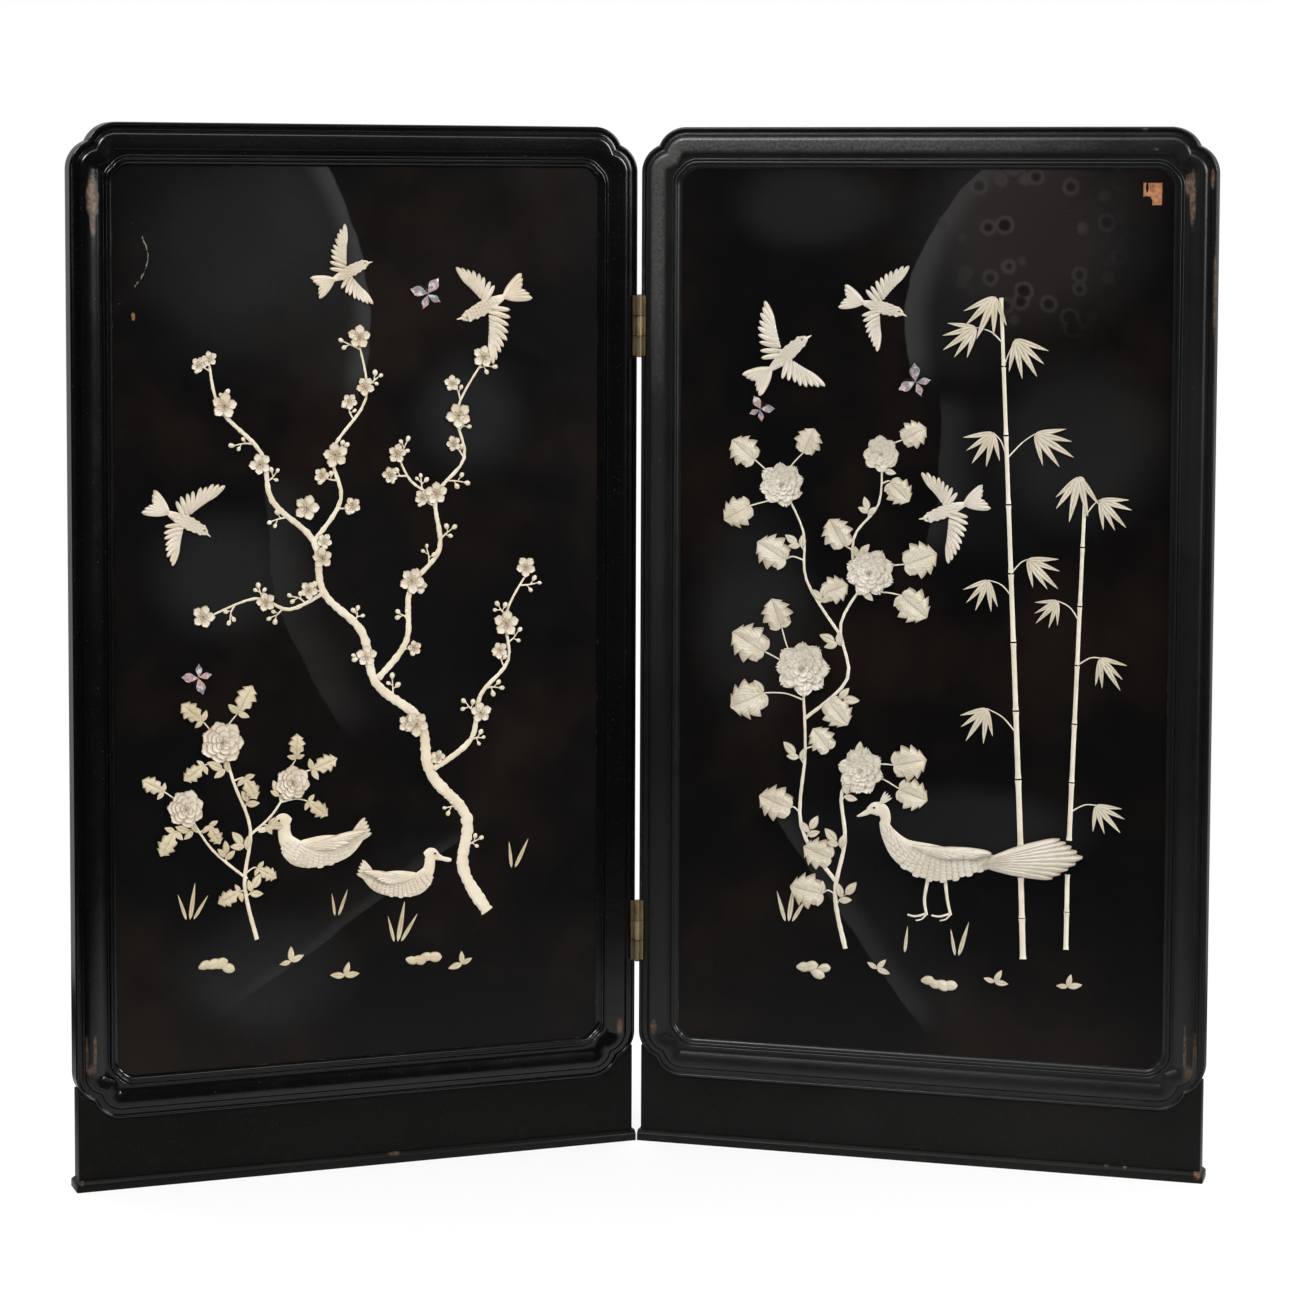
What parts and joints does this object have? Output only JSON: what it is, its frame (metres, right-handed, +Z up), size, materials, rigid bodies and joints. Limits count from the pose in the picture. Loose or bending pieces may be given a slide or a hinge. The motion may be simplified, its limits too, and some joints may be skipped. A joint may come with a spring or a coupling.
{
  "type": "folding screen",
  "caption": "Folding screen of hinged black lacquer panels with lobed moulded frames, carved bone-coloured flower and bird inlay, brass butt hinges and low plinths.",
  "frame": {"origin": "centre of the bounding box at floor level", "axes": "+X to the viewer's right along the screen, +Y away from the picture side, +Z up"},
  "size_m": [1.8352, 0.337, 1.7],
  "materials": {
    "frame_lacquer": "black lacquer over wood, glossy, rubbed brown at the ends and corners",
    "board_lacquer": "very dark brown-black lacquer, slightly cloudy, with small blisters",
    "bone_inlay": "cream carved bone-like inlay, satin, with brownish engraved lines",
    "pearl_inlay": "pearl shell, glossy and iridescent",
    "hinge_brass": "aged brass, dull brown with brighter rubbed edges",
    "raw_wood": "planed softwood, hidden inside the panels",
    "steel": "plain steel wood screws, hidden under the plinths"
  },
  "bodies": {
    "left_panel": {"left_top_rail": "frame_lacquer", "left_bottom_rail": "frame_lacquer", "left_outer_stile": "frame_lacquer", "left_hinge_stile": "frame_lacquer", "left_picture_board": "board_lacquer", "left_back_board": "board_lacquer", "left_core_battens": "raw_wood", "left_mitre_keys": "raw_wood", "left_apron": "frame_lacquer", "left_apron_dowels": "raw_wood", "left_plinth": "frame_lacquer", "left_plinth_screws": "steel", "left_hinge_screws": "hinge_brass", "upper_hinge_left_leaf": "hinge_brass", "upper_hinge_pin": "hinge_brass", "lower_hinge_left_leaf": "hinge_brass", "lower_hinge_pin": "hinge_brass", "left_inlay_boughs": "bone_inlay", "left_inlay_blossoms": "bone_inlay", "left_inlay_leaves": "bone_inlay", "left_inlay_birds": "bone_inlay", "left_inlay_pearl": "pearl_inlay"},
    "right_panel": {"right_top_rail": "frame_lacquer", "right_bottom_rail": "frame_lacquer", "right_outer_stile": "frame_lacquer", "right_hinge_stile": "frame_lacquer", "right_picture_board": "board_lacquer", "right_back_board": "board_lacquer", "right_core_battens": "raw_wood", "right_mitre_keys": "raw_wood", "right_apron": "frame_lacquer", "right_apron_dowels": "raw_wood", "right_plinth": "frame_lacquer", "right_plinth_screws": "steel", "right_hinge_screws": "hinge_brass", "upper_hinge_right_leaf": "hinge_brass", "lower_hinge_right_leaf": "hinge_brass", "right_inlay_stems": "bone_inlay", "right_inlay_blossoms": "bone_inlay", "right_inlay_leaves": "bone_inlay", "right_inlay_birds": "bone_inlay", "right_inlay_pearl": "pearl_inlay"}
  },
  "joints": [
    {"name": "fold", "type": "hinge", "parent": "left_panel", "child": "right_panel", "pos_m": [0, 0.12062, 0.865], "axis": [0, 0, 1], "range_deg": [-144.4, 35.6]}
  ]
}
